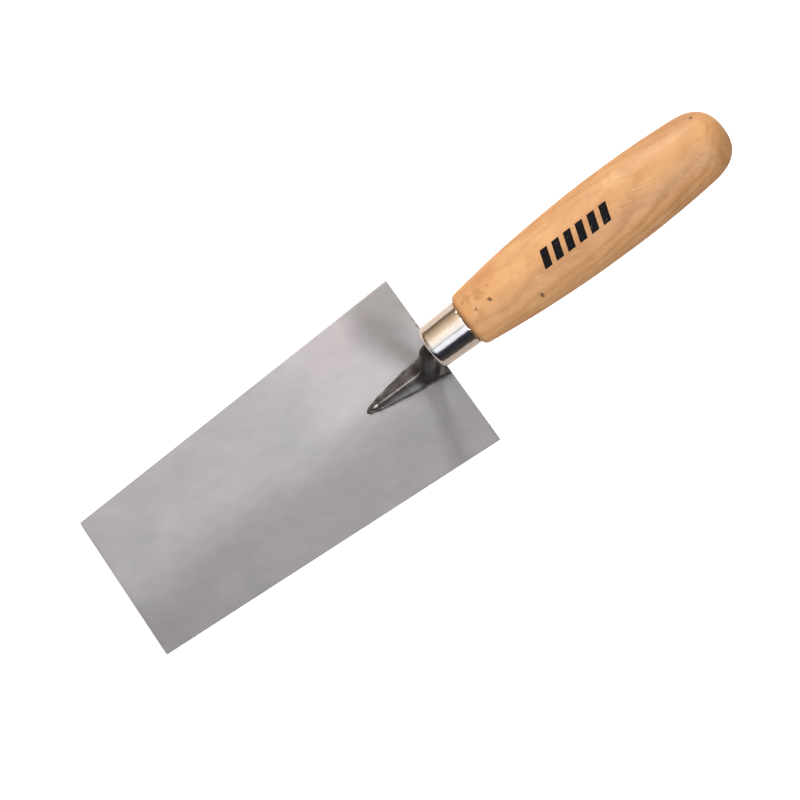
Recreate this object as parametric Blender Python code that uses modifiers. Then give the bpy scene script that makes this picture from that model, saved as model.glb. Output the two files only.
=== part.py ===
"""A flat bucket trowel: a tapered steel blade, a forged shank with a spear foot, a gooseneck and a tang,
the weld round the foot, a drawn steel ferrule and a turned beech handle.

Metres, +Z up, +X from the blade towards the butt. The origin is the middle of the blade's underside.
Everything is symmetric about the plane y = 0."""

from math import atan2, cos, pi, radians, sin, sqrt

import bmesh
import bpy
from mathutils import Vector

# Driving dimensions
GAP = 0.0003  # left between pieces that touch

BLADE_LENGTH = 0.180
BLADE_FRONT_WIDTH = 0.073
BLADE_REAR_WIDTH = 0.0905
BLADE_THICKNESS = 0.0012
BLADE_EDGE_BEVEL = 0.00015

HANDLE_PITCH = radians(9.1)  # the handle rises towards the butt
AXIS_HEIGHT = 0.0429  # of the handle's axis above the underside, over the blade's rear edge

# Places along the handle's axis, from the point over the blade's rear edge
FERRULE_FRONT = -0.0041
FERRULE_REAR = 0.0165
SPIGOT_FRONT = 0.0030
SHOULDER = FERRULE_REAR + GAP
BUTT = 0.1482
TANG_POINT = 0.0760
BORE_END = 0.0780

FERRULE_FRONT_RADIUS = 0.0099
FERRULE_REAR_RADIUS = 0.01055
FERRULE_CORNER_RADIUS = 0.0046
FERRULE_WALL = 0.0008

BELLY = 0.0910  # place of the handle's largest radius
BELLY_RADIUS = 0.01755
FRONT_SWELL_RADIUS = 0.540  # of the long arc from the shoulder to the belly
REAR_SWELL_RADIUS = 0.450  # of the long arc from the belly to the butt
SHOULDER_ROUNDING = 0.0030
BUTT_CAP_LENGTH = 0.0161
BUTT_CAP_POWER = 2.7  # of the superellipse that closes the butt

FOOT_LENGTH = 0.0415
FOOT_REAR_HALF_WIDTH = 0.0074
FOOT_OUTLINE_POWER = 0.62
FOOT_TIP_EDGE = 0.0004
FOOT_REAR_EDGE = 0.0016
RIDGE_TIP_HEIGHT = 0.0010
RIDGE_NECK_HEIGHT = 0.0052
HEEL_HEIGHT = 0.0030
FLANK_POWER = 1.6  # above 1, so the flanks of the foot are hollow

NECK_LEAN = radians(84)
NECK_BEND_RADIUS = 0.0060  # of the centre line
NECK_BASE_X = -0.0085  # from the blade's rear edge
NECK_BASE_RADIUS = 0.0042
NECK_TOP_RADIUS = 0.0037
NECK_FILLET = 0.0032
TANG_RADIUS = 0.0033
TANG_POINT_RADIUS = 0.0009

WELD_LEG = 0.0010

TURNED_STEPS = 48
RING_POINTS = 20

REAR_EDGE_X = BLADE_LENGTH / 2
BLADE_TOP = BLADE_THICKNESS
AXIS_ORIGIN = Vector((REAR_EDGE_X, 0, AXIS_HEIGHT))
AXIS = Vector((cos(HANDLE_PITCH), 0, sin(HANDLE_PITCH)))


def clear_scene():
    for old in list(bpy.data.objects):
        bpy.data.objects.remove(old, do_unlink=True)


def make_collection(name):
    collection = bpy.data.collections.new(name)
    bpy.context.scene.collection.children.link(collection)
    return collection


def material(name, colour, roughness, metallic):
    made = bpy.data.materials.new(name)
    made.use_nodes = True
    shader = made.node_tree.nodes["Principled BSDF"]
    shader.inputs["Base Color"].default_value = (*colour, 1)
    shader.inputs["Roughness"].default_value = roughness
    shader.inputs["Metallic"].default_value = metallic
    return made


def object_from(bm, name, collection, surface=None):
    mesh = bpy.data.meshes.new(name)
    bmesh.ops.recalc_face_normals(bm, faces=bm.faces)
    bm.to_mesh(mesh)
    bm.free()
    piece = bpy.data.objects.new(name, mesh)
    if surface:
        mesh.materials.append(surface)
    collection.objects.link(piece)
    return piece


def loft(rings):
    """A closed body through rings of equally many points, capped at both ends."""
    bm = bmesh.new()
    rows = [[bm.verts.new(point) for point in ring] for ring in rings]
    count = len(rows[0])
    for row, following in zip(rows, rows[1:]):
        for i in range(count):
            j = (i + 1) % count
            bm.faces.new((row[i], row[j], following[j], following[i]))
    bm.faces.new(rows[0])
    bm.faces.new(rows[-1])
    return bm


def shade_round(piece, sharp_degrees=40):
    piece.data.shade_smooth()
    piece.data.set_sharp_from_angle(angle=radians(sharp_degrees))


def on_axis(distance):
    return AXIS_ORIGIN + AXIS * distance


def turned(name, profile, collection, surface=None):
    """A body of revolution about the handle's axis, from (radius, distance) points that run down its
    outer side from the butt's end, and up its inner side."""
    mesh = bpy.data.meshes.new(name)
    points = [(radius, 0, distance) for radius, distance in profile]
    mesh.from_pydata(points, [(i, i + 1) for i in range(len(points) - 1)], [])
    piece = bpy.data.objects.new(name, mesh)
    if surface:
        mesh.materials.append(surface)
    collection.objects.link(piece)
    piece.location = AXIS_ORIGIN
    piece.rotation_euler = (0, pi / 2 - HANDLE_PITCH, 0)
    screw = piece.modifiers.new("Turn", "SCREW")
    screw.axis = "Z"
    screw.angle = 2 * pi
    screw.steps = TURNED_STEPS
    screw.render_steps = TURNED_STEPS
    screw.use_merge_vertices = True
    screw.merge_threshold = 0.00001
    screw.use_smooth_shade = True
    return piece


def subtract(piece, cutter):
    cutter.hide_render = True
    cutter.display_type = "WIRE"
    cut = piece.modifiers.new("Cut", "BOOLEAN")
    cut.operation = "DIFFERENCE"
    cut.solver = "EXACT"
    cut.object = cutter


def blade_half_width(x):
    share = (x + BLADE_LENGTH / 2) / BLADE_LENGTH
    return (BLADE_FRONT_WIDTH + (BLADE_REAR_WIDTH - BLADE_FRONT_WIDTH) * share) / 2


def make_blade(collection):
    bm = bmesh.new()
    bmesh.ops.create_cube(bm, size=1.0)
    for vert in bm.verts:
        x = vert.co.x * BLADE_LENGTH
        y = vert.co.y * 2 * blade_half_width(x)
        vert.co = (x, y, (vert.co.z + 0.5) * BLADE_THICKNESS)
    steel = material("blade_steel", (0.42, 0.40, 0.40), 0.38, 1.0)
    blade = object_from(bm, "blade", collection, steel)
    bevel = blade.modifiers.new("Edges", "BEVEL")
    bevel.width = BLADE_EDGE_BEVEL
    bevel.segments = 1
    return blade


def foot_half_width(distance):
    """At a distance behind the foot's tip."""
    return FOOT_REAR_HALF_WIDTH * (distance / FOOT_LENGTH) ** FOOT_OUTLINE_POWER


def foot_crest(distance):
    """Height of the ridge: it climbs to the neck, then falls to the heel."""
    neck_at = FOOT_LENGTH + NECK_BASE_X
    if distance < neck_at:
        share = distance / neck_at
        return RIDGE_TIP_HEIGHT + (RIDGE_NECK_HEIGHT - RIDGE_TIP_HEIGHT) * share
    share = (distance - neck_at) / (FOOT_LENGTH - neck_at)
    return RIDGE_NECK_HEIGHT + (HEEL_HEIGHT - RIDGE_NECK_HEIGHT) * share


def foot_edge(distance):
    return FOOT_TIP_EDGE + (FOOT_REAR_EDGE - FOOT_TIP_EDGE) * distance / FOOT_LENGTH


def foot_ring(distance):
    x = REAR_EDGE_X - GAP - FOOT_LENGTH + distance
    base = BLADE_TOP + GAP
    width, crest, edge = foot_half_width(distance), foot_crest(distance), foot_edge(distance)
    ring = [(x, -width, base)]
    steps = 12
    for i in range(steps + 1):
        side = 2 * i / steps - 1
        rise = (1 - abs(side)) ** FLANK_POWER
        ring.append((x, side * width, base + edge + (crest - edge) * rise))
    ring.append((x, width, base))
    return ring


def make_foot(name, collection, surface):
    stations = 14
    first = 0.0005
    distances = [first + (FOOT_LENGTH - first) * (i / stations) ** 1.3 for i in range(stations + 1)]
    return object_from(loft([foot_ring(d) for d in distances]), name, collection, surface)


def rounded_ring(centre, across, half_width, half_depth, power):
    """A superellipse in the plane of Y and across. Power 2 is an ellipse, and more is squarer."""
    ring = []
    for i in range(RING_POINTS):
        turn = 2 * pi * i / RING_POINTS
        c, s = cos(turn), sin(turn)
        size = (abs(c) ** power + abs(s) ** power) ** (-1 / power)
        ring.append(centre + Vector((0, c * size * half_width, 0)) + across * (s * size * half_depth))
    return ring


def neck_line():
    """The neck's and tang's centre line, as (point, direction, stage) from the foot to the tang's point.
    Stage runs from 0 to 1 up the neck, 1 to 2 round the bend and 2 to 3 along the tang."""
    up = Vector((cos(NECK_LEAN), 0, sin(NECK_LEAN)))
    bend_end = on_axis(0)
    centre = bend_end + NECK_BEND_RADIUS * Vector((AXIS.z, 0, -AXIS.x))
    bend_start = centre + NECK_BEND_RADIUS * Vector((-up.z, 0, up.x))
    base_z = BLADE_TOP + 2 * GAP
    base = bend_start - up * ((bend_start.z - base_z) / up.z)
    line = []
    neck_steps = (0, 0.03, 0.06, 0.09, 0.12, 0.15, 0.19, 0.4, 0.7)
    line += [(base.lerp(bend_start, share), up, share) for share in neck_steps]
    bend_steps = 8
    for i in range(bend_steps + 1):
        share = i / bend_steps
        turn = NECK_LEAN + (HANDLE_PITCH - NECK_LEAN) * share
        along = Vector((cos(turn), 0, sin(turn)))
        line.append((centre + NECK_BEND_RADIUS * Vector((-along.z, 0, along.x)), along, 1 + share))
    for share in (0.06, 0.12, 0.55, 0.9, 1.0):
        line.append((on_axis(TANG_POINT * share), AXIS, 2 + share))
    return line


def neck_ring(point, along, stage, growth):
    across = Vector((-along.z, 0, along.x))
    if stage <= 1:
        radius = NECK_BASE_RADIUS + (NECK_TOP_RADIUS - NECK_BASE_RADIUS) * stage
        above = point.z - (BLADE_TOP + GAP + RIDGE_NECK_HEIGHT * 0.6)
        depth = min(max(1 - above / NECK_FILLET, 0), 0.95)
        radius += NECK_FILLET * (1 - sqrt(1 - depth**2)) * 0.5
        power = 2.2
    elif stage <= 2:
        radius, power = NECK_TOP_RADIUS, 2.2
    else:
        share = stage - 2
        start = NECK_TOP_RADIUS if share < 0.05 else TANG_RADIUS
        radius = start + (TANG_POINT_RADIUS - start) * share**1.3
        power = 2.2 if share < 0.1 else 3.5
    radius += growth
    return rounded_ring(point, across, radius, radius * 0.95, power)


def make_neck(name, collection, surface=None, growth=0.0):
    rings = [neck_ring(*place, growth) for place in neck_line()]
    return object_from(loft(rings), name, collection, surface)


def make_shank(collection, helpers):
    steel = material("forged_steel", (0.055, 0.048, 0.045), 0.45, 0.9)
    shank = make_foot("shank", collection, steel)
    neck = make_neck("neck_join", helpers)
    neck.hide_render = True
    neck.display_type = "WIRE"
    join = shank.modifiers.new("Join", "BOOLEAN")
    join.operation = "UNION"
    join.solver = "EXACT"
    join.object = neck
    shade_round(shank)
    return shank


def make_weld(collection):
    """A fillet of weld metal in the corner between the foot's edge and the blade."""
    steel = material("weld_metal", (0.30, 0.29, 0.29), 0.4, 1.0)
    first, stations = 0.0012, 12
    distances = [first + (FOOT_LENGTH - first) * (1 - i / stations) ** 1.3 for i in range(stations + 1)]
    tip_x = REAR_EDGE_X - GAP - FOOT_LENGTH
    side = [Vector((tip_x + d, foot_half_width(d), 0)) for d in distances]
    outline = side + [Vector((tip_x - 0.0003, 0, 0))]
    outline += [Vector((p.x, -p.y, 0)) for p in reversed(side)]
    base = BLADE_TOP + GAP
    rings = []
    for i, point in enumerate(outline):
        before, after = outline[max(i - 1, 0)], outline[min(i + 1, len(outline) - 1)]
        run = (after - before).normalized()
        out = Vector((run.y, -run.x, 0))
        if out.dot(point - Vector((REAR_EDGE_X, 0, 0))) < 0:
            out = -out
        inner = point + out * GAP
        leg = WELD_LEG * (1 if i not in (0, len(outline) - 1) else 0.8)
        low = Vector((0, 0, base))
        rings.append([inner + low, inner + low + Vector((0, 0, leg)), inner + out * leg + low])
    return object_from(loft(rings), "weld_fillet", collection, steel)


def make_ferrule(collection, helpers):
    """A drawn cup with a rounded front, and a hole that the neck passes through."""
    chrome = material("ferrule_chrome", (0.80, 0.80, 0.80), 0.12, 1.0)
    corner_steps = 7

    def side_radius(distance):
        share = (distance - FERRULE_FRONT) / (FERRULE_REAR - FERRULE_FRONT)
        return FERRULE_FRONT_RADIUS + (FERRULE_REAR_RADIUS - FERRULE_FRONT_RADIUS) * share

    def corner(inset):
        """From the front face out to the side, for the skin that lies inset within the outer one."""
        rounding = FERRULE_CORNER_RADIUS - inset
        middle_radius = side_radius(FERRULE_FRONT + FERRULE_CORNER_RADIUS) - FERRULE_CORNER_RADIUS
        middle = FERRULE_FRONT + FERRULE_CORNER_RADIUS
        turns = [pi / 2 * i / corner_steps for i in range(corner_steps + 1)]
        return [(middle_radius + rounding * sin(t), middle - rounding * cos(t)) for t in turns]

    inner_rear = (side_radius(FERRULE_REAR) - FERRULE_WALL, FERRULE_REAR)
    outer_rear = (side_radius(FERRULE_REAR), FERRULE_REAR)
    inner = [(0, FERRULE_FRONT + FERRULE_WALL)] + corner(FERRULE_WALL) + [inner_rear]
    outer = [outer_rear] + corner(0)[::-1] + [(0, FERRULE_FRONT)]
    ferrule = turned("ferrule", inner + outer, collection, chrome)
    subtract(ferrule, make_neck("neck_hole", helpers, growth=GAP))
    return ferrule


def handle_side_radius(distance):
    swell = FRONT_SWELL_RADIUS if distance < BELLY else REAR_SWELL_RADIUS
    return BELLY_RADIUS - (swell - sqrt(swell**2 - (distance - BELLY) ** 2))


def handle_outline():
    """(radius, distance) from the butt's apex to the ferrule's rear edge."""
    points = []
    cap_steps, side_steps, corner_steps = 14, 16, 5
    cap_start = BUTT - BUTT_CAP_LENGTH
    for i in range(cap_steps):
        share = cos(pi / 2 * i / cap_steps)  # 1 at the apex
        distance = cap_start + BUTT_CAP_LENGTH * share
        closing = max(1 - share**BUTT_CAP_POWER, 0) ** (1 / BUTT_CAP_POWER)
        points.append((handle_side_radius(distance) * closing, distance))
    side_end = SHOULDER + SHOULDER_ROUNDING
    for i in range(side_steps):
        distance = cap_start + (side_end - cap_start) * i / side_steps
        points.append((handle_side_radius(distance), distance))
    rim = handle_side_radius(side_end) - SHOULDER_ROUNDING
    for i in range(corner_steps + 1):
        turn = pi / 2 * i / corner_steps
        points.append((rim + SHOULDER_ROUNDING * cos(turn), side_end - SHOULDER_ROUNDING * sin(turn)))
    return points


def make_handle(collection):
    """Turned beech, with a spigot for the ferrule and a pilot bore for the tang."""
    beech = material("beech", (0.66, 0.38, 0.17), 0.45, 0.0)
    clearance = FERRULE_WALL + GAP
    slope = (FERRULE_REAR_RADIUS - FERRULE_FRONT_RADIUS) / (FERRULE_REAR - FERRULE_FRONT)
    spigot_front_radius = FERRULE_FRONT_RADIUS + slope * (SPIGOT_FRONT - FERRULE_FRONT) - clearance
    spigot = [(FERRULE_REAR_RADIUS - clearance, SHOULDER), (spigot_front_radius, SPIGOT_FRONT)]
    tang_corner = 1.25  # the tang's corners stand out further than its flats
    bore_mouth = TANG_RADIUS * tang_corner + 2 * GAP
    bore_tip = TANG_POINT_RADIUS * tang_corner + 2 * GAP
    bore = [(bore_mouth, SPIGOT_FRONT), (bore_tip, BORE_END), (0, BORE_END)]
    return turned("handle", handle_outline() + spigot + bore, collection, beech)


def main():
    clear_scene()
    parts = make_collection("bucket_trowel")
    helpers = make_collection("bucket_trowel_cutters")
    make_blade(parts)
    make_shank(parts, helpers)
    make_weld(parts)
    make_ferrule(parts, helpers)
    make_handle(parts)


main()
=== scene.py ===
from math import cos, pi, radians, sin, sqrt

import bmesh
import bpy
from mathutils import Matrix, Quaternion, Vector, noise


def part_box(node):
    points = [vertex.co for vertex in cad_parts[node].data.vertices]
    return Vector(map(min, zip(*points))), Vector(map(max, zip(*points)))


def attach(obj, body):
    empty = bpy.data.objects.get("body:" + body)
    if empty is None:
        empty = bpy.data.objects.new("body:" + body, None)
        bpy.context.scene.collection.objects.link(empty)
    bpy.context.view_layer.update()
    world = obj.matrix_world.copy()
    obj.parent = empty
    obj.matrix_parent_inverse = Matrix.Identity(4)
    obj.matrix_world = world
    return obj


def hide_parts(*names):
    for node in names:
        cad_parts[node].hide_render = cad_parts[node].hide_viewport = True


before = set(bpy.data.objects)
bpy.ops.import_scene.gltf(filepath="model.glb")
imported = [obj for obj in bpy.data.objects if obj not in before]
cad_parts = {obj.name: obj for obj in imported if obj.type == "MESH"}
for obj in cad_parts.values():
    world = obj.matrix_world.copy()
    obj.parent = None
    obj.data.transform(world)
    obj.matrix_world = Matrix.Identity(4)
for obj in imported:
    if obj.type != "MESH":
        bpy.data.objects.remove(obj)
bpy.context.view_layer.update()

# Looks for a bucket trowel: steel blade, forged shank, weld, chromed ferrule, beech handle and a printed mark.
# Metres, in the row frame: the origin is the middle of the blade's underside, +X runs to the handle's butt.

MM = 0.001

# Dimensions of the CAD part, repeated here
HANDLE_PITCH = radians(9.1)
AXIS_HEIGHT = 42.9 * MM
FERRULE_FRONT = -4.1 * MM
FERRULE_REAR = 16.5 * MM
FERRULE_FRONT_RADIUS = 9.9 * MM
FERRULE_REAR_RADIUS = 10.55 * MM
FERRULE_WALL = 0.8 * MM
SPIGOT_FRONT = 3.0 * MM
SHOULDER = 16.8 * MM
BUTT = 148.2 * MM
BELLY = 91.0 * MM
BELLY_RADIUS = 17.55 * MM
FRONT_SWELL_RADIUS = 540 * MM
REAR_SWELL_RADIUS = 450 * MM
SHOULDER_ROUNDING = 3.0 * MM
BUTT_CAP_LENGTH = 16.1 * MM
BUTT_CAP_POWER = 2.7
FOOT_LENGTH = 41.5 * MM
FOOT_REAR_HALF_WIDTH = 7.4 * MM
TANG_POINT = 76.0 * MM
BORE_END = 78.0 * MM
NECK_LEAN = radians(84)
NECK_BEND_RADIUS = 6.0 * MM
NECK_BASE_X = -8.5 * MM
FOOT_SETBACK = 0.3 * MM  # of the foot's heel from the blade's rear edge

# The foot's heights, in mm, and the powers of its curves, as in CAD
FOOT_OUTLINE_POWER = 0.62
FLANK_POWER = 1.6  # above 1, so the flanks of the foot are hollow
RIDGE_TIP, RIDGE_CLIMB, HEEL_DROP = 1.0, 4.2, 2.2
SIDE_TIP, SIDE_CLIMB = 0.4, 1.2

# The neck's and tang's radii, in mm, and the powers of their superellipses
NECK_BASE_RADIUS, NECK_TAPER = 4.2, 0.5
ROOT_FLARE, FLARE_START, FLARE_HEIGHT = 1.9, 1.5, 8.5  # where the neck widens into the foot
TANG_TOP_RADIUS, TANG_RADIUS, TANG_POINT_RADIUS, TANG_TAPER_POWER = 3.7, 3.3, 0.9, 1.3
TANG_SQUARE_FROM = 0.1  # share of the tang's length
ROUND_POWER, SQUARE_POWER = 2.2, 3.5

# Dimensions that differ from the CAD part's
FERRULE_CORNER_RADIUS = 4.2 * MM  # 4.6 mm in CAD
FERRULE_SETBACK = 1.0 * MM  # of the ferrule's front face behind the CAD's
FERRULE_CORNER_POWER = 3  # of the superellipse in the ferrule's corner, which is a circle in CAD
LIP_LENGTH = 0.3 * MM  # of the ferrule's rounded rear lip
FOOT_CLEARANCE = 0.02 * MM  # under the foot, where the CAD has 0.3 mm
WELD_CLEARANCE = 0.01 * MM  # under the weld, where the CAD has 0.3 mm

blade_low, blade_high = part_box("blade")
REAR_EDGE_X = blade_high.x
BLADE_TOP = blade_high.z
BLADE_REAR_WIDTH = blade_high.y - blade_low.y
BLADE_FRONT_WIDTH = 73 * MM
BLADE_LENGTH = blade_high.x - blade_low.x
AXIS_ORIGIN = Vector((REAR_EDGE_X, 0, AXIS_HEIGHT))
AXIS = Vector((cos(HANDLE_PITCH), 0, sin(HANDLE_PITCH)))
# Carries the frame that the handle's pieces are made in, +X along the handle's axis, into the row frame
HANDLE_FRAME = Matrix.Translation(AXIS_ORIGIN) @ Matrix.Rotation(-HANDLE_PITCH, 4, "Y")


# ---------------------------------------------------------------- camera, floor and lights

CAMERA_AT = Vector((71, -98, 633)) * MM
CAMERA_AIM = Vector((63.3, -3.75, 0)) * MM
CAMERA_ROLL = radians(-40.26)
CAMERA_LENS = 63  # on a 36 mm sensor


def look_at(thing, place, aim, roll=0.0):
    thing.location = place
    turn = (aim - place).to_track_quat("-Z", "Y") @ Quaternion((0, 0, 1), roll)
    thing.rotation_euler = turn.to_euler()


def make_camera():
    data = bpy.data.cameras.new("camera")
    data.lens = CAMERA_LENS
    data.sensor_width = 36
    data.clip_start = 0.01
    data.clip_end = 20
    camera = bpy.data.objects.new("camera", data)
    bpy.context.scene.collection.objects.link(camera)
    look_at(camera, CAMERA_AT, CAMERA_AIM, CAMERA_ROLL)
    bpy.context.scene.camera = camera


# Colours of the studio around the X axis: degrees from straight up towards +Y, then linear RGB
STUDIO_RING = (
    (-180, (0.40, 0.34, 0.28)),
    (-112, (0.22, 0.185, 0.155)),
    (-96, (0.075, 0.062, 0.058)),
    (-70, (0.028, 0.030, 0.038)),
    (-50, (0.06, 0.060, 0.080)),
    (-40, (1.38, 1.40, 1.56)),
    (-20, (1.46, 1.46, 1.53)),
    (-17, (0.60, 0.60, 0.66)),
    (-13, (1.18, 1.16, 1.16)),
    (-6, (1.52, 1.42, 1.30)),
    (16, (1.62, 1.44, 1.24)),
    (30, (1.30, 0.98, 0.72)),
    (50, (0.83, 0.62, 0.44)),
    (68, (0.48, 0.35, 0.23)),
    (78, (0.24, 0.165, 0.10)),
    (86, (0.30, 0.21, 0.14)),
    (92, (0.56, 0.43, 0.31)),
    (180, (0.66, 0.58, 0.50)),
)
RING_STRENGTH = 0.85
RING_FALL = (0.2, 0.7)  # how far along X a direction points where the ring begins and ends to dim
RING_END_SHARE = 0.40
TABLE_EDGE_Y = -150 * MM
GROUND_HALF_SIZE = 3.0
LIGHT_AIM_X = REAR_EDGE_X - 30 * MM  # under the shank's foot


def area_light(name, direction, distance, size, power, colour):
    """A softbox that looks at the shank's foot from a direction. The camera doesn't see it."""
    data = bpy.data.lights.new(name, "AREA")
    data.shape = "RECTANGLE"
    data.size, data.size_y = size
    data.energy = power
    data.color = colour
    light = bpy.data.objects.new(name, data)
    bpy.context.scene.collection.objects.link(light)
    aim = Vector((LIGHT_AIM_X, 0, 0))
    look_at(light, aim + Vector(direction).normalized() * distance, aim)
    light.visible_camera = False


def make_world():
    """A studio of colours in a ring about +X, dimmer towards both ends. The camera sees plain white."""
    world = bpy.data.worlds.new("studio")
    world.use_nodes = True
    tree = world.node_tree
    made = tree.nodes.new
    link = tree.links.new
    direction = made("ShaderNodeSeparateXYZ")
    link(made("ShaderNodeTexCoord").outputs["Generated"], direction.inputs[0])
    turn = made("ShaderNodeMath")
    turn.operation = "ARCTAN2"
    link(direction.outputs["Y"], turn.inputs[0])
    link(direction.outputs["Z"], turn.inputs[1])
    share = made("ShaderNodeMapRange")
    link(turn.outputs[0], share.inputs["Value"])
    share.inputs["From Min"].default_value = -pi
    share.inputs["From Max"].default_value = pi
    ramp = made("ShaderNodeValToRGB")
    link(share.outputs[0], ramp.inputs[0])
    stops = ramp.color_ramp.elements
    while len(stops) > 1:
        stops.remove(stops[-1])
    for i, (angle, colour) in enumerate(STUDIO_RING):
        stop = stops[0] if i == 0 else stops.new((angle + 180) / 360)
        stop.position = (angle + 180) / 360
        stop.color = (*colour, 1)
    sideways = made("ShaderNodeMath")
    sideways.operation = "ABSOLUTE"
    link(direction.outputs["X"], sideways.inputs[0])
    fall = made("ShaderNodeMapRange")
    link(sideways.outputs[0], fall.inputs["Value"])
    fall.inputs["From Min"].default_value, fall.inputs["From Max"].default_value = RING_FALL
    fall.inputs["To Min"].default_value = RING_STRENGTH
    fall.inputs["To Max"].default_value = RING_STRENGTH * RING_END_SHARE
    background = tree.nodes["Background"]
    link(ramp.outputs[0], background.inputs["Color"])
    link(fall.outputs[0], background.inputs["Strength"])
    plain = made("ShaderNodeBackground")
    plain.inputs["Color"].default_value = (1, 1, 1, 1)
    either = made("ShaderNodeMixShader")
    link(made("ShaderNodeLightPath").outputs["Is Camera Ray"], either.inputs[0])
    link(background.outputs[0], either.inputs[1])
    link(plain.outputs[0], either.inputs[2])
    link(either.outputs[0], tree.nodes["World Output"].inputs["Surface"])
    bpy.context.scene.world = world
    bpy.context.scene.view_settings.view_transform = "Standard"


# ---------------------------------------------------------------- node helper


class Surface:
    """A material with short ways to add and link nodes. Its patterns lie in the row frame or a given one."""

    def __init__(self, name, frame_matrix=None):
        self.into_frame = frame_matrix.inverted() if frame_matrix else None
        self.material = bpy.data.materials.new(name)
        self.material.use_nodes = True
        self.tree = self.material.node_tree
        self.shader = self.tree.nodes["Principled BSDF"]

    def put(self, socket, value):
        if isinstance(value, bpy.types.NodeSocket):
            self.tree.links.new(value, socket)
        else:
            socket.default_value = value

    def set(self, **inputs):
        for name, value in inputs.items():
            self.put(self.shader.inputs[name.replace("_", " ")], value)

    def node(self, kind, inputs=None, **settings):
        made = self.tree.nodes.new(kind)
        for key, value in settings.items():
            setattr(made, key, value)
        for key, value in (inputs or {}).items():
            self.put(made.inputs[key], value)
        return made

    def place(self, scale=(1, 1, 1), move=(0, 0, 0), turn=(0, 0, 0)):
        """Coordinates in the material's frame, turned, moved and then scaled."""
        own = self.node("ShaderNodeTexCoord").outputs["Object"]
        if self.into_frame:
            inputs = {"Vector": own, "Location": self.into_frame.translation}
            inputs["Rotation"] = self.into_frame.to_euler()
            own = self.node("ShaderNodeMapping", inputs).outputs[0]
        moved = self.node("ShaderNodeMapping", {"Vector": own, "Location": move, "Rotation": turn})
        inputs = {0: moved.outputs[0], 1: scale}
        return self.node("ShaderNodeVectorMath", inputs, operation="MULTIPLY").outputs[0]

    def noise(self, vector, scale, detail=3.0, roughness=0.55, distortion=0.0):
        inputs = {"Vector": vector, "Scale": scale, "Detail": detail, "Roughness": roughness}
        inputs["Distortion"] = distortion
        return self.node("ShaderNodeTexNoise", inputs).outputs["Fac"]

    def math(self, operation, a, b=0.0, clamp=False):
        return self.node("ShaderNodeMath", {0: a, 1: b}, operation=operation, use_clamp=clamp).outputs[0]

    def fit(self, value, low, high, to_low=0.0, to_high=1.0, smooth=False):
        inputs = {"Value": value, "From Min": low, "From Max": high, "To Min": to_low, "To Max": to_high}
        kind = "SMOOTHSTEP" if smooth else "LINEAR"
        return self.node("ShaderNodeMapRange", inputs, interpolation_type=kind).outputs[0]

    def mix(self, factor, a, b, blend="MIX"):
        made = self.node("ShaderNodeMix", data_type="RGBA", blend_type=blend)
        self.put(made.inputs[0], factor)
        self.put(made.inputs[6], (*a, 1) if isinstance(a, tuple) else a)
        self.put(made.inputs[7], (*b, 1) if isinstance(b, tuple) else b)
        return made.outputs[2]

    def multiplied(self, colour, by):
        return self.mix(1.0, colour, by, "MULTIPLY")

    def bump(self, height, distance, strength=1.0, normal=None):
        inputs = {"Height": height, "Distance": distance, "Strength": strength}
        if normal:
            inputs["Normal"] = normal
        return self.node("ShaderNodeBump", inputs).outputs["Normal"]


# ---------------------------------------------------------------- materials

# Painted highlights on the shank, at the toe and by the neck: middle, measured from the rear edge, and half
# sizes
TOE_AND_NECK_GLINTS = (
    (Vector((-37.3, 0.0, 1.2)) * MM, Vector((1.5, 0.8, 9)) * MM),
    (Vector((-9.4, 0.0, 6.0)) * MM, Vector((0.8, 0.7, 9)) * MM),
)
SMALL_SPECK = 2  # mm; specks under it are dark and ragged, and larger ones are brown patches
SPECK_COLOUR = (0.075, 0.026, 0.010)
PATCH_COLOUR = (0.27, 0.135, 0.045)
# Specks in the wood's upper side: distance along the handle, offset towards +Y and radius, in mm, and strength
SPECKS = (
    (31.1, -0.6, 1.2, 0.85),
    (23.8, -0.5, 1.1, 0.85),
    (49.3, -12.0, 1.3, 0.80),
    (139.5, 9.4, 1.2, 0.80),
    (27.5, 3.6, 3.4, 0.42),
    (23.6, 6.0, 2.6, 0.45),
    (24.6, -2.6, 1.9, 0.18),
    (20.6, 5.6, 1.2, 0.35),
    (33.5, 4.9, 0.6, 0.45),
    (35.5, -6.5, 0.5, 0.35),
    (21.5, -4.4, 0.8, 0.25),
    (139.8, -10.7, 5.5, 0.60),
    (144.5, -4.0, 7.0, 0.45),
    (101.0, 3.5, 10.0, 0.20),
    (112.0, -8.5, 2.4, 0.30),
    (102.0, 3.0, 0.5, 0.35),
)


def floor_surface():
    """White card that glows, more so far away, so that it stays as white as the sky behind it."""
    s = Surface("floor_white")
    grain = s.noise(s.place(), 60)
    s.set(Base_Color=s.mix(grain, (0.91, 0.92, 0.935), (0.93, 0.94, 0.955)), Roughness=0.85)
    s.set(Specular_IOR_Level=0.2)
    away = s.node("ShaderNodeVectorMath", {0: s.place()}, operation="LENGTH").outputs["Value"]
    glow = s.mix(s.fit(away, 0.35, 1.2, smooth=True), (0.16, 0.16, 0.16), (0.60, 0.60, 0.60))
    s.set(Emission_Color=glow, Emission_Strength=1.0)
    return s.material


def table_surface():
    """Warm table top, palest beside the trowel on the +Y side."""
    s = Surface("table_warm")
    parts = s.node("ShaderNodeSeparateXYZ", {0: s.place(move=(0, GROUND_HALF_SIZE + TABLE_EDGE_Y, 0))})
    y = parts.outputs["Y"]
    far = s.mix(s.fit(y, 0.03, 0.11, smooth=True), (0.70, 0.62, 0.57), (0.44, 0.37, 0.32))
    s.set(Base_Color=s.mix(s.fit(y, -0.02, 0.02, smooth=True), (0.35, 0.30, 0.26), far), Roughness=0.85)
    s.set(Specular_IOR_Level=0.2)
    return s.material
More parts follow.
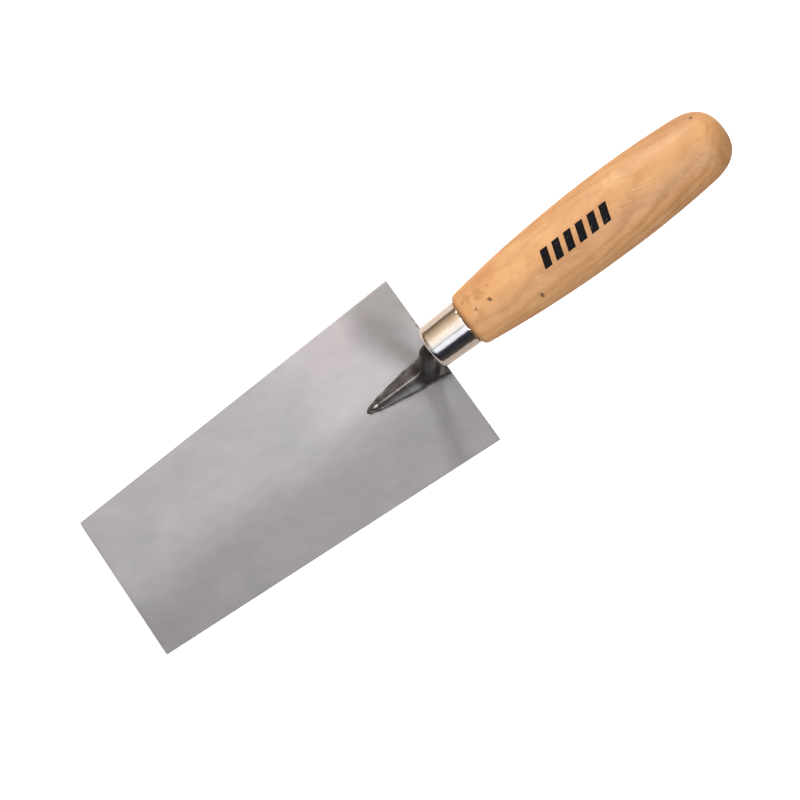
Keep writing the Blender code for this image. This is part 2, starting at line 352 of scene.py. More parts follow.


# Painted shadows on the blade beside the weld, where the neck and ferrule cast shade.
# Middle, measured from the rear edge, direction of the long axis and half sizes.
WELD_SHADOW_ZONES = (
    (Vector((-9, 0, 1.2)) * MM, Vector((1, 0, 0)), Vector((18, 18)) * MM),
    (Vector((-16, 21, 1.2)) * MM, Vector((-0.457, 0.889, 0)), Vector((24, 13)) * MM),
)


def blade_surface():
    """Rolled sheet: satin, mottled in soft patches, with dark specks on its rear edge.

    A painted reflection makes part of the +Y half paler; painted shade darkens the -Y half, and painted shadows
    lie beside the weld."""
    s = Surface("blade_steel")
    own = s.place(move=(-REAR_EDGE_X, 0, 0))
    parts = s.node("ShaderNodeSeparateXYZ", {0: own})
    x, y = parts.outputs["X"], parts.outputs["Y"]
    patches = s.noise(own, 42, 5, 0.62, 0.15)
    cloud = s.noise(own, 14, 2, 0.5)
    grain = s.noise(s.place(scale=(0.12, 1, 1)), 900, 3, 0.6)
    streaks = s.noise(s.place(scale=(0.10, 1, 1), turn=(0, 0, radians(4))), 200, 2)
    blush = s.noise(s.place(move=(0.3, 0.1, 0)), 24, 3, 0.6)
    tone = s.mix(s.fit(patches, 0.32, 0.68), (0.258, 0.260, 0.270), (0.297, 0.299, 0.309))
    tone = s.mix(s.fit(blush, 0.45, 0.75, 0, 0.5), tone, (0.296, 0.272, 0.284))
    tone = s.mix(s.fit(cloud, 0.35, 0.65), tone, s.multiplied(tone, (0.93, 0.94, 0.94)))
    tone = s.mix(s.fit(streaks, 0.45, 0.8, 0, 0.06), tone, (0.36, 0.36, 0.37))
    wander = s.fit(cloud, 0.3, 0.7, -9 * MM, 9 * MM)
    # Painted reflection: a paler patch on the +Y half beside the foot.
    behind = s.fit(s.math("ADD", x, wander), -72 * MM, -50 * MM, smooth=True)
    painted_reflection = s.math("MULTIPLY", behind, s.fit(y, -4 * MM, 5 * MM, smooth=True))
    painted_reflection = s.math("MULTIPLY", painted_reflection, s.fit(x, -16 * MM, -30 * MM, smooth=True))
    # Painted shadows beside the weld, one soft mask per zone, darken the tone.
    weld_shadow = 0.0
    for middle, axis, size in WELD_SHADOW_ZONES:
        off = s.node("ShaderNodeVectorMath", {0: own, 1: middle}, operation="SUBTRACT").outputs[0]
        across = Vector((axis.y, -axis.x, 0)) / size.y
        u = s.node("ShaderNodeVectorMath", {0: off, 1: axis / size.x}, operation="DOT_PRODUCT")
        v = s.node("ShaderNodeVectorMath", {0: off, 1: across}, operation="DOT_PRODUCT")
        apart = s.node("ShaderNodeCombineXYZ", {"X": u.outputs["Value"], "Y": v.outputs["Value"]}).outputs[0]
        apart = s.node("ShaderNodeVectorMath", {0: apart}, operation="LENGTH").outputs["Value"]
        apart = s.math("ADD", apart, s.fit(patches, 0.3, 0.7, -0.12, 0.12))
        weld_shadow = s.math("MAXIMUM", weld_shadow, s.fit(apart, 1.1, 0.45, smooth=True))
    tone = s.mix(weld_shadow, tone, s.multiplied(tone, (0.80, 0.79, 0.80)))
    tone = s.mix(painted_reflection, tone, s.multiplied(tone, (1.16, 1.13, 1.14)))
    ripple = s.place(scale=(0.45, 1, 1), turn=(0, 0, radians(18)))
    mottle = s.noise(ripple, 190, 4, 0.6, 0.3)
    mottle_tone = s.mix(s.fit(mottle, 0.3, 0.7), (0.945, 0.955, 0.96), (1.045, 1.035, 1.05))
    tone = s.multiplied(tone, mottle_tone)
    # Painted shade: the -Y half toned darker.
    half = s.math("ADD", y, s.fit(cloud, 0.3, 0.7, -6 * MM, 6 * MM))
    darker = s.multiplied(tone, (0.70, 0.695, 0.70))
    tone = s.mix(s.fit(half, 7 * MM, -22 * MM, smooth=True), tone, darker)
    specks = s.fit(s.noise(own, 520, 3, 0.6), 0.60, 0.66)
    at_edge = s.fit(x, -1.8 * MM, -0.5 * MM)
    specks = s.math("MULTIPLY", s.math("MULTIPLY", specks, at_edge), 0.75)
    tone = s.mix(specks, tone, (0.06, 0.05, 0.05))
    rough = s.math("ADD", s.fit(patches, 0.3, 0.7, 0.45, 0.52), s.fit(grain, 0.3, 0.7, -0.02, 0.02))
    s.set(Base_Color=tone, Metallic=0.25, Roughness=rough)
    relief = s.bump(grain, 0.00001, 0.25)
    relief = s.bump(mottle, 0.00010, 0.6, relief)
    s.set(Normal=s.bump(patches, 0.0003, 0.25, relief))
    return s.material


def forged_surface():
    """Dark forging scale, with painted highlights along the ridge, at the toe and where the ridge meets the
    neck.
    """
    s = Surface("forged_steel")
    own = s.place(move=(-REAR_EDGE_X, 0, 0))
    parts = s.node("ShaderNodeSeparateXYZ", {0: own})
    x, y = parts.outputs["X"], parts.outputs["Y"]
    skin_noise = s.noise(own, 420, 4, 0.6)
    coarse = s.noise(own, 140, 3, 0.5)
    dark = s.mix(s.fit(coarse, 0.35, 0.65), (0.036, 0.030, 0.029), (0.080, 0.073, 0.070))
    flank = s.math("MULTIPLY", s.fit(y, -1.5 * MM, -4 * MM), s.fit(x, -11 * MM, -19 * MM, smooth=True))
    dark = s.mix(s.math("MULTIPLY", flank, 0.6), dark, (0.15, 0.15, 0.145))
    ragged = s.math("ADD", s.math("ABSOLUTE", y), s.fit(coarse, 0.3, 0.7, -0.25 * MM, 0.25 * MM))
    # Painted highlight: a pale line along the ridge, fading towards the toe.
    ridge_highlight = s.fit(ragged, 0.7 * MM, 0.15 * MM, smooth=True)
    ridge_highlight = s.math("MULTIPLY", ridge_highlight, s.fit(x, -9.5 * MM, -11.5 * MM, 0, 0.45))
    ridge_highlight = s.math("MULTIPLY", ridge_highlight, s.fit(x, -37 * MM, -30 * MM, 0.1, 1.0))
    dark = s.mix(s.fit(x, -11 * MM, -6 * MM, 0, 0.55), dark, (0.030, 0.022, 0.021))
    toe = s.fit(x, -31 * MM, -36 * MM, 0, 0.6, smooth=True)
    dark = s.mix(toe, dark, (0.030, 0.027, 0.026))
    # Painted highlights: the ridge line and the glints at the toe and by the neck.
    painted_highlights = ridge_highlight
    for place, size in TOE_AND_NECK_GLINTS:
        off = s.node("ShaderNodeVectorMath", {0: own, 1: place}, operation="SUBTRACT").outputs[0]
        off = s.node("ShaderNodeVectorMath", {0: off, 1: size}, operation="DIVIDE").outputs[0]
        apart = s.node("ShaderNodeVectorMath", {0: off}, operation="LENGTH").outputs["Value"]
        painted_highlights = s.math("MAXIMUM", painted_highlights, s.fit(apart, 1.0, 0.6, smooth=True))
    tone = s.mix(painted_highlights, dark, (0.52, 0.51, 0.51))
    rough = s.math("SUBTRACT", s.fit(skin_noise, 0.3, 0.7, 0.36, 0.55), s.math("MULTIPLY", painted_highlights, 0.06))
    s.set(Base_Color=tone, Metallic=0.75, Roughness=rough)
    s.set(Normal=s.bump(skin_noise, 0.00012, 0.6))
    return s.material


def weld_surface():
    """Dark, uneven weld metal."""
    s = Surface("weld_steel")
    own = s.place()
    coarse = s.noise(own, 300, 3, 0.5)
    tone = s.mix(s.fit(coarse, 0.35, 0.65), (0.065, 0.060, 0.057), (0.14, 0.133, 0.128))
    s.set(Base_Color=tone, Metallic=0.8, Roughness=s.fit(coarse, 0.3, 0.7, 0.35, 0.5))
    s.set(Normal=s.bump(coarse, 0.00008, 0.6))
    return s.material


def chrome_surface():
    """Bright plating, slightly wavy and hazy, with fine scratches round it."""
    s = Surface("ferrule_chrome", HANDLE_FRAME)
    own = s.place()
    around = s.place(scale=(1, 0.15, 0.15))
    haze = s.noise(own, 240, 3, 0.6)
    scratches = s.noise(around, 1500, 2, 0.5)
    s.set(Base_Color=s.mix(s.fit(haze, 0.35, 0.65), (0.82, 0.81, 0.79), (0.87, 0.86, 0.84)))
    rough = s.math("ADD", s.fit(haze, 0.3, 0.75, 0.05, 0.12), s.fit(scratches, 0.6, 0.8, 0, 0.05))
    s.set(Metallic=1.0, Roughness=rough)
    waves = s.noise(s.place(scale=(0.6, 1, 1)), 430, 2, 0.5)
    s.set(Normal=s.bump(haze, 0.00001, 0.5, s.bump(waves, 0.00006, 1.0)))
    return s.material


def beech_surface():
    """Growth rings about a pith beside the handle, blurred and wandering, with flecks, specks and scratches."""
    s = Surface("beech", HANDLE_FRAME)
    own = s.place()
    place = s.node("ShaderNodeSeparateXYZ", {0: own})
    own_x, own_y = place.outputs["X"], place.outputs["Y"]
    leaning = s.place(move=(0.0, 0.012, 0.055), turn=(0, radians(5), radians(-4)))
    parts = s.node("ShaderNodeSeparateXYZ", {0: leaning})
    across = s.node("ShaderNodeCombineXYZ", {"Y": parts.outputs["Y"], "Z": parts.outputs["Z"]})
    from_pith = s.node("ShaderNodeVectorMath", {0: across.outputs[0]}, operation="LENGTH").outputs["Value"]
    wander = s.noise(s.place(scale=(0.35, 1, 1)), 70, 4, 0.6)
    rings = s.math("ADD", s.math("MULTIPLY", from_pith, 1 / 0.0031), s.math("MULTIPLY", wander, 3.0))
    late = s.fit(s.math("PINGPONG", rings, 0.5), 0.10, 0.5, smooth=True)
    fibre = s.noise(s.place(scale=(0.035, 1, 1)), 1300, 3, 0.6)
    flecks = s.fit(s.noise(s.place(scale=(0.12, 1, 1)), 1300, 2, 0.5), 0.66, 0.74)
    patches = s.noise(s.place(scale=(0.6, 1, 1)), 55, 4, 0.62, 0.8)
    curl = s.noise(s.place(scale=(1.4, 0.8, 0.8), turn=(0, 0, radians(20))), 110, 3, 0.6, 1.0)
    scratches = s.noise(s.place(scale=(0.10, 1, 1), turn=(0, 0, radians(17))), 900, 2, 0.4)
    tone = s.mix(s.fit(patches, 0.3, 0.7), (0.420, 0.205, 0.080), (0.530, 0.295, 0.128))
    belly = s.math("MULTIPLY", s.fit(own_y, -2 * MM, -9 * MM), s.fit(own_x, 70 * MM, 95 * MM))
    late_share = s.math("MULTIPLY", late, s.math("ADD", 0.40, s.math("MULTIPLY", belly, 0.25)))
    tone = s.mix(late_share, tone, (0.34, 0.155, 0.056))
    tone = s.mix(s.fit(curl, 0.42, 0.72, 0, 0.34), tone, (0.56, 0.330, 0.155))
    tone = s.mix(s.fit(fibre, 0.35, 0.70, 0.0, 0.20), tone, (0.38, 0.195, 0.082))
    tone = s.mix(s.fit(scratches, 0.68, 0.76, 0.0, 0.35), tone, (0.66, 0.46, 0.28))
    tone = s.mix(s.math("MULTIPLY", flecks, 0.35), tone, (0.30, 0.145, 0.06))
    # Painted shade: darker towards the butt, reaching further forward on the -Y side.
    butt = s.math("ADD", own_x, s.math("MULTIPLY", own_y, -0.55))
    butt = s.math("ADD", butt, s.fit(patches, 0.3, 0.7, -4 * MM, 4 * MM))
    tone = s.mix(s.fit(butt, 138 * MM, 152 * MM, 0, 0.55, smooth=True), tone, (0.33, 0.165, 0.068))
    lengthwise = s.mix(s.fit(own_x, 30 * MM, 125 * MM), (1.05, 1.05, 1.07), (0.90, 0.89, 0.87))
    tone = s.multiplied(tone, lengthwise)
    ragged = s.noise(own, 1100, 2, 0.6)
    seen_from_above = s.node("ShaderNodeCombineXYZ", {"X": own_x, "Y": own_y}).outputs[0]
    upper_side = s.math("GREATER_THAN", place.outputs["Z"], 0.0)
    for along, aside, size, strength in SPECKS:
        middle = (along * MM, aside * MM, 0)
        apart = s.node("ShaderNodeVectorMath", {0: seen_from_above, 1: middle}, operation="DISTANCE")
        small = size < SMALL_SPECK
        outline, colour = (ragged, SPECK_COLOUR) if small else (curl, PATCH_COLOUR)
        uneven = s.fit(outline, 0.3, 0.7, -0.45 * size * MM, 0.45 * size * MM)
        apart = s.math("ADD", apart.outputs["Value"], uneven)
        spot = s.fit(apart, size * MM, 0.3 * size * MM, 0, strength, smooth=True)
        tone = s.mix(s.math("MULTIPLY", spot, upper_side), tone, colour)
    s.set(Base_Color=tone, Roughness=s.fit(fibre, 0.3, 0.7, 0.52, 0.64))
    s.set(Coat_Weight=0.06, Coat_Roughness=0.45)
    s.set(Specular_IOR_Level=0.35)
    grain = s.bump(fibre, 0.00003, 0.4)
    s.set(Normal=s.bump(flecks, -0.00004, 0.5, grain))
    return s.material


def ink_surface():
    """Matt black ink, worn through to the wood in places."""
    s = Surface("mark_ink", HANDLE_FRAME)
    own = s.place()
    wear = s.fit(s.noise(own, 900, 4, 0.7), 0.66, 0.70)
    tone = s.mix(wear, (0.004, 0.004, 0.005), (0.34, 0.19, 0.09))
    s.set(Base_Color=tone, Roughness=s.fit(s.noise(own, 500), 0.3, 0.7, 0.6, 0.75))
    s.set(Specular_IOR_Level=0.08)
    return s.material


# ---------------------------------------------------------------- mesh helpers


def on_axis(distance):
    return AXIS_ORIGIN + AXIS * distance


def finish_piece(name, mesh, surface, node=None, frame_matrix=None):
    """A visible piece that stands for a CAD node, if one is given. frame_matrix is baked into its mesh."""
    piece = loose(name, mesh)
    mesh.materials.clear()
    mesh.materials.append(surface)
    if frame_matrix:
        mesh.transform(frame_matrix)
    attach(piece, "root")
    if node:
        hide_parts(node)
    return piece


def outward(mesh):
    """Turns all faces outward."""
    bm = bmesh.new()
    bm.from_mesh(mesh)
    bmesh.ops.recalc_face_normals(bm, faces=bm.faces)
    bm.to_mesh(mesh)
    bm.free()
    return mesh


def skin(rings):
    """A mesh through rings of equally many points. The ends close on a fan about their middle."""
    count = len(rings[0])
    points = [tuple(point) for ring in rings for point in ring]
    faces = []
    for r in range(len(rings) - 1):
        for i in range(count):
            j = (i + 1) % count
            faces.append((r * count + i, r * count + j, (r + 1) * count + j, (r + 1) * count + i))
    for r, order in ((0, 1), (len(rings) - 1, -1)):
        middle = sum((Vector(p) for p in rings[r]), Vector()) / count
        points.append(tuple(middle))
        for i in range(count):
            face = (len(points) - 1, r * count + (i + 1) % count, r * count + i)
            faces.append(face[::order])
    mesh = bpy.data.meshes.new("skin")
    mesh.from_pydata(points, [], faces)
    mesh.validate()
    return outward(mesh)


def turned_skin(profile, turns, swell=None):
    """A turned mesh about +X from (distance, radius) points. swell(distance, angle) is added to the radius."""
    rings = []
    for distance, radius in profile:
        ring = []
        for i in range(turns):
            angle = 2 * pi * i / turns
            r = radius + (swell(distance, angle) if swell else 0)
            ring.append((distance, r * sin(angle), r * cos(angle)))
        rings.append(ring)
    return skin(rings)


def shade(mesh, sharp_degrees=35):
    mesh.shade_smooth()
    mesh.set_sharp_from_angle(angle=radians(sharp_degrees))
    return mesh


def applied(piece):
    """The piece's mesh with its modifiers applied. The piece is removed."""
    depsgraph = bpy.context.evaluated_depsgraph_get()
    mesh = bpy.data.meshes.new_from_object(piece.evaluated_get(depsgraph))
    bpy.data.objects.remove(piece, do_unlink=True)
    return mesh


def loose(name, mesh):
    """A plain object in the scene."""
    piece = bpy.data.objects.new(name, mesh)
    bpy.context.scene.collection.objects.link(piece)
    return piece


# ---------------------------------------------------------------- blade


def blade_half_width(x):
    share = (x + BLADE_LENGTH / 2) / BLADE_LENGTH
    return (BLADE_FRONT_WIDTH + (BLADE_REAR_WIDTH - BLADE_FRONT_WIDTH) * share) / 2


def make_blade():
    """The sheet, with rounded edges and a faint roll, under 0.06 mm, to its upper face."""
    long_steps, wide_steps = 240, 120
    edge = 0.14 * MM  # width of the rounding
    roll, roll_drop, roll_margin = 0.035 * MM, 0.02 * MM, 4 * MM
    chamfer = 0.10 * MM
    rings = []
    for i in range(long_steps + 1):
        x = -BLADE_LENGTH / 2 + BLADE_LENGTH * i / long_steps
        half = blade_half_width(x)
        inset = edge if i in (0, long_steps) else 0.0
        lower, upper = inset * 0.7, BLADE_TOP - inset * 0.7
        ring = []
        for j in range(wide_steps + 1):
            y = -half + edge + (2 * half - 2 * edge) * j / wide_steps
            wave = noise.noise(Vector((x * 28, y * 22, 3.1))) * roll
            fade = min(1, (half - abs(y)) / roll_margin, (BLADE_LENGTH / 2 - abs(x)) / roll_margin)
            ring.append((x, y, upper + (wave - roll_drop) * max(fade, 0)))
        ring.append((x, half - 0.04 * MM, upper - chamfer))
        ring.append((x, half, (lower + upper) / 2))
        ring.append((x, half - 0.04 * MM, lower + chamfer))
        ring.append((x, half - edge, lower))
        ring.append((x, -half + edge, lower))
        ring.append((x, -half + 0.06 * MM, lower + chamfer))
        ring.append((x, -half, (lower + upper) / 2))
        ring.append((x, -half + 0.06 * MM, upper - chamfer))
        rings.append(ring)
    mesh = shade(skin(rings), 50)
    return finish_piece("blade_sheet", mesh, blade_surface(), "blade")


# ---------------------------------------------------------------- shank


def foot_half_width(distance):
    """At a distance behind the foot's tip."""
    return FOOT_REAR_HALF_WIDTH * (distance / FOOT_LENGTH) ** FOOT_OUTLINE_POWER


def foot_ring(distance, count=33):
    """A section of the foot: flat below, with hollow flanks that rise to a narrow rounded ridge."""
    x = REAR_EDGE_X - FOOT_SETBACK - FOOT_LENGTH + distance
    base = BLADE_TOP + FOOT_CLEARANCE
    width = foot_half_width(distance)
    neck_at = FOOT_LENGTH + NECK_BASE_X
    share = min(distance / neck_at, 1)
    crest = (RIDGE_TIP + RIDGE_CLIMB * share) * MM
    if distance > neck_at:
        crest -= HEEL_DROP * MM * (distance - neck_at) / (FOOT_LENGTH - neck_at)
    edge = (SIDE_TIP + SIDE_CLIMB * distance / FOOT_LENGTH) * MM
    ring = [(x, -width, base)]
    for i in range(count):
        side = 2 * i / (count - 1) - 1
        rise = (1 - abs(side)) ** FLANK_POWER
        ring.append((x, side * width, base + edge + (crest - edge) * rise))
    ring.append((x, width, base))
    return ring


def neck_rings(growth=0.0, points=48):
    """The neck, its bend and the tang, from the foot to the tang's point. growth is added to the radius."""
    neck_steps, bend_steps, tang_steps = 40, 16, 20
    up = Vector((cos(NECK_LEAN), 0, sin(NECK_LEAN)))
    centre = on_axis(0) + NECK_BEND_RADIUS * Vector((AXIS.z, 0, -AXIS.x))
    bend_start = centre + NECK_BEND_RADIUS * Vector((-up.z, 0, up.x))
    base = bend_start - up * ((bend_start.z - BLADE_TOP - 0.6 * MM) / up.z)
    line = []
    for i in range(neck_steps + 1):
        share = i / neck_steps
        line.append((base.lerp(bend_start, share), up, share, 0))
    for i in range(1, bend_steps + 1):
        turn = NECK_LEAN + (HANDLE_PITCH - NECK_LEAN) * i / bend_steps
        along = Vector((cos(turn), 0, sin(turn)))
        line.append((centre + NECK_BEND_RADIUS * Vector((-along.z, 0, along.x)), along, 1, 0))
    for i in range(1, tang_steps + 1):
        line.append((on_axis(TANG_POINT * i / tang_steps), AXIS, 1, i / tang_steps))
    rings = []
    for point, along, climb, tang in line:
        across = Vector((-along.z, 0, along.x))
        radius = (NECK_BASE_RADIUS - NECK_TAPER * climb) * MM
        above = (point.z - BLADE_TOP - FLARE_START * MM) / (FLARE_HEIGHT * MM)
        depth = min(max(1 - above, 0), 1)
        radius += ROOT_FLARE * MM * depth**2
        power = ROUND_POWER
        if tang:
            square = tang > TANG_SQUARE_FROM
            radius = (TANG_RADIUS if square else TANG_TOP_RADIUS) * MM
            radius += (TANG_POINT_RADIUS * MM - radius) * tang**TANG_TAPER_POWER
            power = SQUARE_POWER if square else ROUND_POWER
        radius += growth
        ring = []
        for i in range(points):
            turn = 2 * pi * i / points
            c, s = cos(turn), sin(turn)
            size = (abs(c) ** power + abs(s) ** power) ** (-1 / power)
            ring.append(point + Vector((0, c * size * radius, 0)) + across * (s * size * radius * 0.95))
        rings.append(ring)
    return rings


def joined(first, second):
    """One mesh that holds the faces of two."""
    bm = bmesh.new()
    bm.from_mesh(first)
    bm.from_mesh(second)
    bm.to_mesh(first)
    bm.free()
    return first


def make_shank():
    """Foot and neck joined and run together as one forging, with a hammered skin."""
    stations = 60
    first = 0.4 * MM
    rings = [foot_ring(first + (FOOT_LENGTH - first) * (i / stations) ** 1.2) for i in range(stations + 1)]
    shank = loose("shank_skin", joined(skin(rings), skin(neck_rings())))
    remesh = shank.modifiers.new("Remesh", "REMESH")
    remesh.mode = "VOXEL"
    remesh.voxel_size = 0.3 * MM
    mesh = applied(shank)
    shank = loose("shank_skin", mesh)
    root = Vector((REAR_EDGE_X + NECK_BASE_X, 0, BLADE_TOP + 5.0 * MM))  # where the neck leaves the foot
    root_size = (12 * MM, 10 * MM, 9 * MM)
    near_floor = 0.3 * MM
    rounds_everywhere, rounds_at_root = 10, 350
    fine_skin, coarse_skin = 0.05, 0.10  # mm
    everywhere = shank.vertex_groups.new(name="everywhere")
    at_root = shank.vertex_groups.new(name="at_root")
    for vert in mesh.vertices:
        off = vert.co - root
        near = 1 - sqrt(sum((along / size) ** 2 for along, size in zip(off, root_size)))
        on_floor = vert.co.z < BLADE_TOP + near_floor
        if near > 0 and not on_floor:
            at_root.add([vert.index], min(1, near * 2), "REPLACE")
        everywhere.add([vert.index], 0 if on_floor else 1, "REPLACE")
    for name, rounds in (("everywhere", rounds_everywhere), ("at_root", rounds_at_root)):
        smooth = shank.modifiers.new(name, "SMOOTH")
        smooth.factor = 0.5
        smooth.iterations = rounds
        smooth.vertex_group = name
    mesh = applied(shank)
    floor_z = BLADE_TOP + FOOT_CLEARANCE
    normals = [vert.normal.copy() for vert in mesh.vertices]
    for vert, normal in zip(mesh.vertices, normals):
        fine = noise.noise(vert.co * 420) * fine_skin
        rough = fine + noise.noise(vert.co * 170 + Vector((5, 1, 2))) * coarse_skin
        vert.co += normal * rough * MM
        vert.co.z = max(vert.co.z, floor_z)
    mesh.shade_smooth()
    return finish_piece("forged_shank", mesh, forged_surface(), "shank")


def make_weld():
    """A small uneven fillet where the foot's edge meets the blade."""
    stations = 110
    first = 0.8 * MM
    buried = 0.3  # mm that the bead reaches into the foot
    tip_x = REAR_EDGE_X - FOOT_SETBACK - FOOT_LENGTH
    side = []
    for i in range(stations + 1):
        d = first + (FOOT_LENGTH - first) * (1 - i / stations) ** 1.3
        side.append(Vector((tip_x + d, foot_half_width(d), 0)))
    tip = [Vector((tip_x - 0.1 * MM, 0, 0))]
    outline = side + tip + [Vector((p.x, -p.y, 0)) for p in reversed(side)]
    base = BLADE_TOP + WELD_CLEARANCE
    rings = []
    for i, point in enumerate(outline):
        before, after = outline[max(i - 1, 0)], outline[min(i + 1, len(outline) - 1)]
        run = (after - before).normalized()
        out = Vector((run.y, -run.x, 0))
        if out.y * point.y < 0 or (point.y == 0 and out.x > 0):
            out = -out
        leg = (0.75 + 0.30 * noise.noise(point * 330)) * MM
        ring = []
        for k in range(6):
            turn = pi / 2 * k / 5
            ring.append(point + out * leg * (1 - sin(turn)) + Vector((0, 0, base + leg * (1 - cos(turn)))))
        ring.append(point - out * buried * MM + Vector((0, 0, BLADE_TOP + leg)))
        ring.append(point - out * buried * MM + Vector((0, 0, base)))
        rings.append(ring)
    mesh = skin(rings)
    mesh.shade_smooth()
    return finish_piece("weld_bead", mesh, weld_surface(), "weld_fillet")


# ---------------------------------------------------------------- ferrule


def ferrule_radius(distance):
    share = (distance - FERRULE_FRONT) / (FERRULE_REAR - FERRULE_FRONT)
    return FERRULE_FRONT_RADIUS + (FERRULE_REAR_RADIUS - FERRULE_FRONT_RADIUS) * share


def ferrule_skin_profile(inset):
    """(distance, radius) from the front face to the rear edge, for the outer skin or one inset within it.
    The corner is a full, squarish curve."""
    middle = FERRULE_FRONT + FERRULE_CORNER_RADIUS
    centre = ferrule_radius(middle) - FERRULE_CORNER_RADIUS
    rounding = FERRULE_CORNER_RADIUS - inset
    front = middle - rounding + FERRULE_SETBACK
    power = FERRULE_CORNER_POWER
    points = [(front, centre * k / 8) for k in range(1, 8)]
    for k in range(25):
        turn = pi / 2 * k / 24
        size = (cos(turn) ** power + sin(turn) ** power) ** (-1 / power)
        points.append((middle - (middle - front) * cos(turn) * size, centre + rounding * sin(turn) * size))
    rear = FERRULE_REAR - LIP_LENGTH
    for k in range(1, 25):
        distance = middle + (rear - middle) * k / 24
        points.append((distance, ferrule_radius(distance) - inset))
    return points


def make_ferrule():
    """The cup, faintly dented, with a hole for the neck and a rounded rear lip."""

    def dents(distance, angle):
        place = Vector((distance * 210, sin(angle) * 1.6, cos(angle) * 1.6))
        fade = min(1, max(0, (FERRULE_REAR - 1 * MM - distance) / (3 * MM)))
        return noise.noise(place) * 0.030 * MM * fade

    outer = ferrule_skin_profile(0.0)
    inner = ferrule_skin_profile(FERRULE_WALL)
    lip_radius = ferrule_radius(FERRULE_REAR) - FERRULE_WALL / 2
    lip = []
    for k in range(1, 8):
        turn = pi * k / 8
        distance = FERRULE_REAR - LIP_LENGTH + LIP_LENGTH * sin(turn)
        lip.append((distance, lip_radius + FERRULE_WALL / 2 * cos(turn)))
    profile = outer + lip + inner[::-1]
    cup = loose("cup", turned_skin(profile, 160, dents))
    cup.matrix_world = HANDLE_FRAME
    hole = loose("hole", skin(neck_rings(growth=0.2 * MM)))
    bpy.context.view_layer.update()
    cut = cup.modifiers.new("Cut", "BOOLEAN")
    cut.operation = "DIFFERENCE"
    cut.object = hole
    mesh = applied(cup)
    bpy.data.objects.remove(hole, do_unlink=True)
    shade(mesh, 40)
    return finish_piece("ferrule_cup", mesh, chrome_surface(), "ferrule", HANDLE_FRAME)


# ---------------------------------------------------------------- handle


def swell_radius(distance):
    swell = FRONT_SWELL_RADIUS if distance < BELLY else REAR_SWELL_RADIUS
    return BELLY_RADIUS - (swell - sqrt(swell**2 - (distance - BELLY) ** 2))


# Small dents in the wood: place along the axis, angle from the top towards +Y in degrees, radius and depth.
# The lengths are in mm.
DENTS = (
    (31.1, -3, 0.5, 0.30),
    (23.8, -2, 0.45, 0.28),
    (49.3, -48, 0.6, 0.25),
    (139.5, 40, 0.5, 0.30),
    (27, 12, 0.8, 0.10),
)


def wood_surface_shift(distance, angle):
    """How far the sanded surface stands off the true turned shape."""
    place = Vector((distance * 55, sin(angle) * 1.1, cos(angle) * 1.1))
    shift = (noise.noise(place) - 0.5) * 0.07 * MM
    radius = swell_radius(min(distance, BUTT - 8 * MM))
    for at, around, size, depth in DENTS:
        off = (angle - radians(around) + pi) % (2 * pi) - pi
        apart = sqrt((distance - at * MM) ** 2 + (off * radius) ** 2) / (size * MM)
        if apart < 2.5:
            shift -= depth * MM * 2.718 ** (-2 * apart * apart)
    return shift


def handle_profile():
    """(distance, radius) from near the butt's middle to the shoulder."""
    points = []
    cap_start = BUTT - BUTT_CAP_LENGTH
    cap_steps, side_steps, corner_steps = 44, 230, 12
    for i in range(1, cap_steps):
        share = cos(pi / 2 * i / cap_steps)
        distance = cap_start + BUTT_CAP_LENGTH * share
        closing = (1 - share**BUTT_CAP_POWER) ** (1 / BUTT_CAP_POWER)
        points.append((distance, swell_radius(distance) * closing))
    side_end = SHOULDER + SHOULDER_ROUNDING
    for i in range(side_steps):
        distance = cap_start + (side_end - cap_start) * i / side_steps
        points.append((distance, swell_radius(distance)))
    rim = swell_radius(side_end) - SHOULDER_ROUNDING
    for i in range(corner_steps + 1):
        turn = pi / 2 * i / corner_steps
        points.append((side_end - SHOULDER_ROUNDING * sin(turn), rim + SHOULDER_ROUNDING * cos(turn)))
    return points


def make_handle():
    """Turned beech with a spigot and a pilot bore, and a slightly uneven surface."""
    outer = handle_profile()
    spigot_rear, spigot_front = FERRULE_REAR_RADIUS - 1.0 * MM, 9.2 * MM
    bore_mouth, bore_tip = 4.8 * MM, 1.8 * MM
    spigot = [(SHOULDER, spigot_rear), (SPIGOT_FRONT, spigot_front)]
    bore = [(SPIGOT_FRONT, bore_mouth), (BORE_END, bore_tip)]

    def shift(distance, angle):
        if distance <= SHOULDER:
            return 0
        return wood_surface_shift(distance, angle)

    mesh = shade(turned_skin(outer + spigot + bore, 200, shift), 50)
    return finish_piece("handle_beech", mesh, beech_surface(), "handle", HANDLE_FRAME)


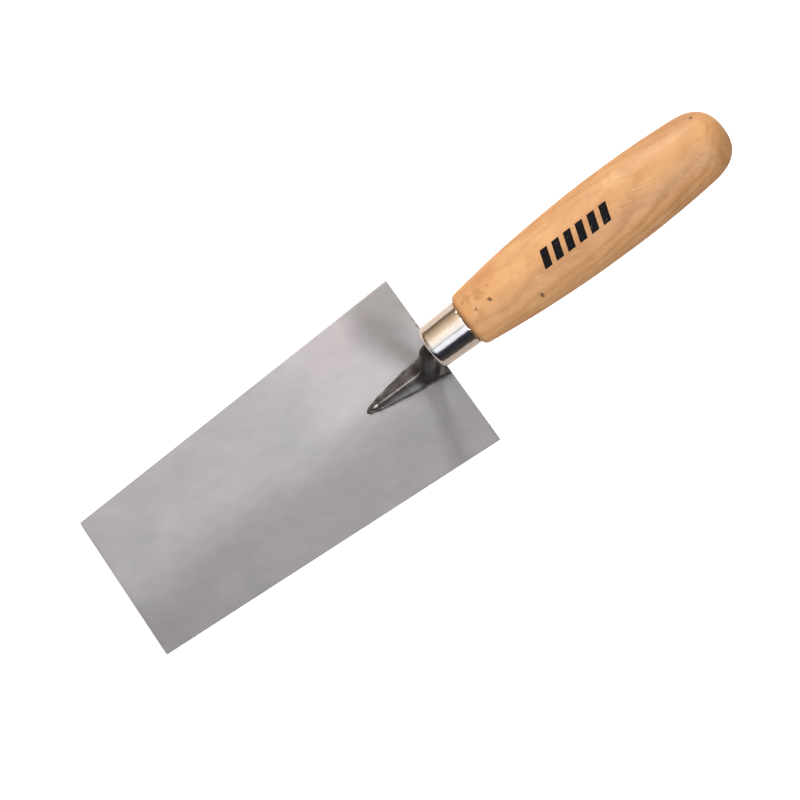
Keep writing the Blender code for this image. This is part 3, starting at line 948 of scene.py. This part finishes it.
def make_mark():
    """A generic printed mark along the handle: a row of slanted bars."""
    start, bars, pitch, bar = 58 * MM, 6, 5.9 * MM, 3.6 * MM
    half_height, slant = 3.9 * MM, 2.6 * MM
    centre_angle = radians(-4.5)
    lift, thick = 0.015 * MM, 0.03 * MM
    points, faces = [], []
    across_steps, along_steps = 14, 8
    for b in range(bars):
        for level in (0, 1):
            for j in range(across_steps + 1):
                y = -half_height + 2 * half_height * j / across_steps
                for i in range(along_steps + 1):
                    distance = start + b * pitch + bar * i / along_steps + slant * y / half_height / 2
                    radius = swell_radius(distance)
                    angle = centre_angle + y / radius
                    radius += wood_surface_shift(distance, angle) + (lift if level == 0 else lift + thick)
                    points.append((distance, radius * sin(angle), radius * cos(angle)))
        base = b * 2 * (across_steps + 1) * (along_steps + 1)
        layer = (across_steps + 1) * (along_steps + 1)
        row = along_steps + 1
        for level in (0, 1):
            for j in range(across_steps):
                for i in range(along_steps):
                    a = base + level * layer + j * row + i
                    face = (a, a + 1, a + row + 1, a + row)
                    faces.append(face if level else face[::-1])
        rim = [j * row for j in range(across_steps)]
        rim += [across_steps * row + i for i in range(along_steps)]
        rim += [j * row + along_steps for j in range(across_steps, 0, -1)]
        rim += list(range(along_steps, 0, -1))
        for k in range(len(rim)):
            a, c = rim[k], rim[(k + 1) % len(rim)]
            faces.append((base + a, base + c, base + layer + c, base + layer + a))
    mesh = bpy.data.meshes.new("mark")
    mesh.from_pydata(points, [], faces)
    shade(outward(mesh), 40)
    return finish_piece("printed_mark", mesh, ink_surface(), frame_matrix=HANDLE_FRAME)


# ---------------------------------------------------------------- stage


def make_ground(name, surface, drop):
    """A flat square that lies a drop below the object."""
    bm = bmesh.new()
    bmesh.ops.create_grid(bm, x_segments=8, y_segments=8, size=GROUND_HALF_SIZE)
    mesh = bpy.data.meshes.new(name)
    bm.to_mesh(mesh)
    bm.free()
    ground = loose(name, mesh)
    ground.location.z = -drop
    mesh.materials.append(surface)
    return ground


def make_floor():
    """A white floor that only the camera sees, over a warm table top that only light and reflections see."""
    floor = make_ground("floor", floor_surface(), 0.05 * MM)
    floor.visible_diffuse = False
    floor.visible_glossy = False
    floor.visible_shadow = False
    table = make_ground("table", table_surface(), 0.10 * MM)
    table.visible_camera = False
    table.location.y = TABLE_EDGE_Y + GROUND_HALF_SIZE


def make_lights():
    area_light("overhead", (-0.03, 0.31, 1.0), 1.3, (0.25, 0.15), 1.8, (1, 0.99, 0.98))
    area_light("right_box", (0.38, -0.84, 0.98), 1.2, (0.22, 0.22), 10.5, (0.97, 0.98, 1))
    area_light("low_box", (0.30, 0.89, 0.52), 1.2, (0.20, 0.16), 14.0, (1, 0.98, 0.96))


make_camera()
make_world()
make_floor()
make_lights()
make_blade()
make_shank()
make_weld()
make_ferrule()
make_handle()
make_mark()

bpy.context.view_layer.update()
